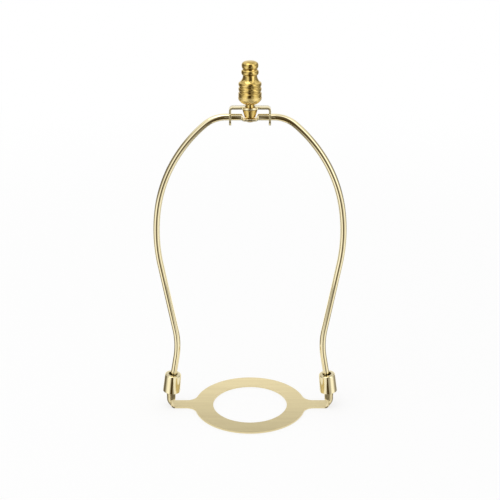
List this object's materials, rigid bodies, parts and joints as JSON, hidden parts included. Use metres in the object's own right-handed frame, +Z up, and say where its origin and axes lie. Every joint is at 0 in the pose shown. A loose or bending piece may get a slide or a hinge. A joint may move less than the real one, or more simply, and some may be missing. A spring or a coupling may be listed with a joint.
{
  "type": "lamp harp",
  "caption": "Bent-wire lamp harp standing in a ring saddle, with a swivel bracket, locking sleeves and a turned finial; it carries a lampshade above a bulb.",
  "frame": {"origin": "centre of the saddle ring, on its flat underside", "axes": "+Z up towards the finial; the harp lies in the XZ plane, its legs along +X and -X; +Y is the ring's depth, away from the viewer"},
  "size_m": [0.1212, 0.0736, 0.2307],
  "materials": {
    "saddle": "satin, fine straight brushing",
    "harp_wire": "bright plated",
    "swivel_bracket": "bright plated",
    "stud": "turned, lightly polished",
    "finial": "polished turned brass",
    "sleeve_left": "bright plated",
    "sleeve_right": "bright plated"
  },
  "bodies": {
    "saddle": {"saddle": "saddle"},
    "harp": {"harp_wire": "harp_wire", "swivel_bracket": "swivel_bracket"},
    "sleeve_left": {"sleeve_left": "sleeve_left"},
    "sleeve_right": {"sleeve_right": "sleeve_right"},
    "stud": {"stud": "stud"},
    "finial": {"finial": "finial"}
  },
  "joints": [
    {"name": "harp_lift", "type": "slide", "parent": "saddle", "child": "harp", "axis": [0, 0, 1], "range_m": [0, 0.03]},
    {"name": "sleeve_left_slide", "type": "slide", "parent": "harp", "child": "sleeve_left", "axis": [0.1564, 0, 0.9877], "range_m": [0, 0.0126]},
    {"name": "sleeve_right_slide", "type": "slide", "parent": "harp", "child": "sleeve_right", "axis": [-0.1564, 0, 0.9877], "range_m": [0, 0.0126]},
    {"name": "stud_swivel", "type": "hinge", "parent": "harp", "child": "stud", "pos_m": [0, 0, 0.2032], "axis": [0, 0, 1], "continuous": true},
    {"name": "finial_unscrew", "type": "slide", "parent": "stud", "child": "finial", "axis": [0, 0, 1], "range_m": [0, 0.0125]}
  ]
}
